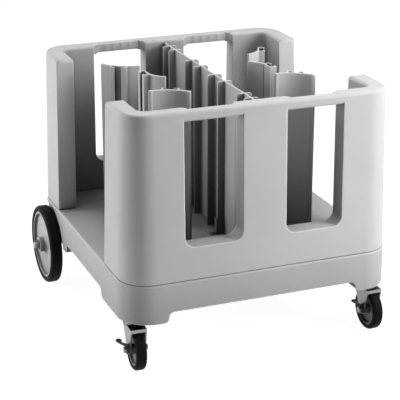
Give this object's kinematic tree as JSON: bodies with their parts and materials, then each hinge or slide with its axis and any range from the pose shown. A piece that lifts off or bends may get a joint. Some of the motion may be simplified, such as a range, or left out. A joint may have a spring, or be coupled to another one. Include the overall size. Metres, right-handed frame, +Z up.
{
  "type": "plate dispenser cart",
  "caption": "Wheeled cart for stacks of round plates: a tray base on casters and large rear wheels, C-shaped end walls with windows, a finned divider and lift-out towers.",
  "frame": {"origin": "on the floor under the middle of the cart's bounding box", "axes": "+X along the front, towards the right caster; +Y from the casters to the large wheels; +Z up"},
  "size_m": [0.963, 0.9079, 0.763],
  "materials": {
    "base_plastic": "fine orange-peel moulded polyethylene",
    "wall_plastic": "fine orange-peel moulded polyethylene with faint speckle",
    "divider_plastic": "smooth extruded plastic",
    "tower_plastic": "smooth extruded plastic",
    "foot_plastic": "moulded nylon",
    "plated_steel": "zinc plated",
    "ball_steel": "greased bearing balls",
    "tyre_rubber": "solid black rubber",
    "wheel_plastic": "moulded wheel centre",
    "bushing_brass": "plain bearing",
    "lever_plastic": "black moulded lever"
  },
  "bodies": {
    "base": {"base_tray": "base_plastic", "front_wall": "wall_plastic", "rear_wall": "wall_plastic", "front_wall_bolts": "plated_steel", "rear_wall_bolts": "plated_steel", "divider_bracket_front_left": "plated_steel", "divider_bracket_front_right": "plated_steel", "divider_bracket_rear_left": "plated_steel", "divider_bracket_rear_right": "plated_steel", "divider_bracket_screws": "plated_steel", "rear_axle": "plated_steel", "axle_bracket_left": "plated_steel", "axle_bracket_right": "plated_steel", "axle_bracket_bolts": "plated_steel", "caster_bolts": "plated_steel", "rear_spacer_left": "plated_steel", "rear_washer_left": "plated_steel", "rear_cap_left": "plated_steel", "caster_plate_left": "plated_steel", "caster_kingpin_left": "plated_steel", "rear_spacer_right": "plated_steel", "rear_washer_right": "plated_steel", "rear_cap_right": "plated_steel", "caster_plate_right": "plated_steel", "caster_kingpin_right": "plated_steel"},
    "divider": {"centre_divider": "divider_plastic"},
    "tower_rear_left_set": {"tower_rear_left": "tower_plastic", "foot_rear_left": "foot_plastic"},
    "tower_front_left_set": {"tower_front_left": "tower_plastic", "foot_front_left": "foot_plastic"},
    "tower_front_right_set": {"tower_front_right": "tower_plastic", "foot_front_right": "foot_plastic"},
    "tower_middle_left_set": {"half_tower_middle_left": "tower_plastic", "foot_middle_left": "foot_plastic"},
    "tower_middle_right_set": {"half_tower_middle_right": "tower_plastic", "foot_middle_right": "foot_plastic"},
    "tower_rear_right_set": {"half_tower_rear_right": "tower_plastic", "foot_rear_right": "foot_plastic"},
    "rear_wheel_left_set": {"rear_tyre_left": "tyre_rubber", "rear_wheel_left": "wheel_plastic", "rear_bushing_left": "bushing_brass"},
    "caster_fork_left_set": {"caster_fork_left": "plated_steel", "caster_balls_left": "ball_steel", "caster_axle_left": "plated_steel"},
    "caster_wheel_left_set": {"caster_wheel_left": "wheel_plastic", "caster_tyre_left": "tyre_rubber"},
    "brake_left_set": {"brake_lever_left": "lever_plastic", "brake_pedal_left": "lever_plastic"},
    "rear_wheel_right_set": {"rear_tyre_right": "tyre_rubber", "rear_wheel_right": "wheel_plastic", "rear_bushing_right": "bushing_brass"},
    "caster_fork_right_set": {"caster_fork_right": "plated_steel", "caster_balls_right": "ball_steel", "caster_axle_right": "plated_steel"},
    "caster_wheel_right_set": {"caster_wheel_right": "wheel_plastic", "caster_tyre_right": "tyre_rubber"},
    "brake_right_set": {"brake_lever_right": "lever_plastic", "brake_pedal_right": "lever_plastic"}
  },
  "joints": [
    {"name": "divider_lift", "type": "slide", "parent": "base", "child": "divider", "axis": [0, 0, 1], "range_m": [0, 0.5]},
    {"name": "tower_rear_left_lift", "type": "slide", "parent": "base", "child": "tower_rear_left_set", "axis": [0, 0, 1], "range_m": [0, 0.06]},
    {"name": "tower_front_left_lift", "type": "slide", "parent": "base", "child": "tower_front_left_set", "axis": [0, 0, 1], "range_m": [0, 0.06]},
    {"name": "tower_front_right_lift", "type": "slide", "parent": "base", "child": "tower_front_right_set", "axis": [0, 0, 1], "range_m": [0, 0.06]},
    {"name": "tower_middle_left_lift", "type": "slide", "parent": "base", "child": "tower_middle_left_set", "axis": [0, 0, 1], "range_m": [0, 0.06]},
    {"name": "tower_middle_right_lift", "type": "slide", "parent": "base", "child": "tower_middle_right_set", "axis": [0, 0, 1], "range_m": [0, 0.06]},
    {"name": "tower_rear_right_lift", "type": "slide", "parent": "base", "child": "tower_rear_right_set", "axis": [0, 0, 1], "range_m": [0, 0.06]},
    {"name": "rear_wheel_left_roll", "type": "hinge", "parent": "base", "child": "rear_wheel_left_set", "pos_m": [-0.437, 0.327, 0.127], "axis": [1, 0, 0], "continuous": true},
    {"name": "caster_left_swivel", "type": "hinge", "parent": "base", "child": "caster_fork_left_set", "pos_m": [-0.374, -0.3572, 0.14], "axis": [0, 0, 1], "continuous": true},
    {"name": "caster_left_roll", "type": "hinge", "parent": "caster_fork_left_set", "child": "caster_wheel_left_set", "pos_m": [-0.37573, -0.39015, 0.0635], "axis": [0.9986, -0.0523, 0], "continuous": true},
    {"name": "brake_left_press", "type": "hinge", "parent": "caster_fork_left_set", "child": "brake_left_set", "pos_m": [-0.37573, -0.39015, 0.0635], "axis": [0.9986, -0.0523, 0], "range_deg": [0, 25]},
    {"name": "rear_wheel_right_roll", "type": "hinge", "parent": "base", "child": "rear_wheel_right_set", "pos_m": [0.437, 0.327, 0.127], "axis": [1, 0, 0], "continuous": true},
    {"name": "caster_right_swivel", "type": "hinge", "parent": "base", "child": "caster_fork_right_set", "pos_m": [0.374, -0.3572, 0.14], "axis": [0, 0, 1], "continuous": true},
    {"name": "caster_right_roll", "type": "hinge", "parent": "caster_fork_right_set", "child": "caster_wheel_right_set", "pos_m": [0.37458, -0.3902, 0.0635], "axis": [0.9998, 0.0175, 0], "continuous": true},
    {"name": "brake_right_press", "type": "hinge", "parent": "caster_fork_right_set", "child": "brake_right_set", "pos_m": [0.37458, -0.3902, 0.0635], "axis": [0.9998, 0.0175, 0], "range_deg": [0, 25]}
  ]
}
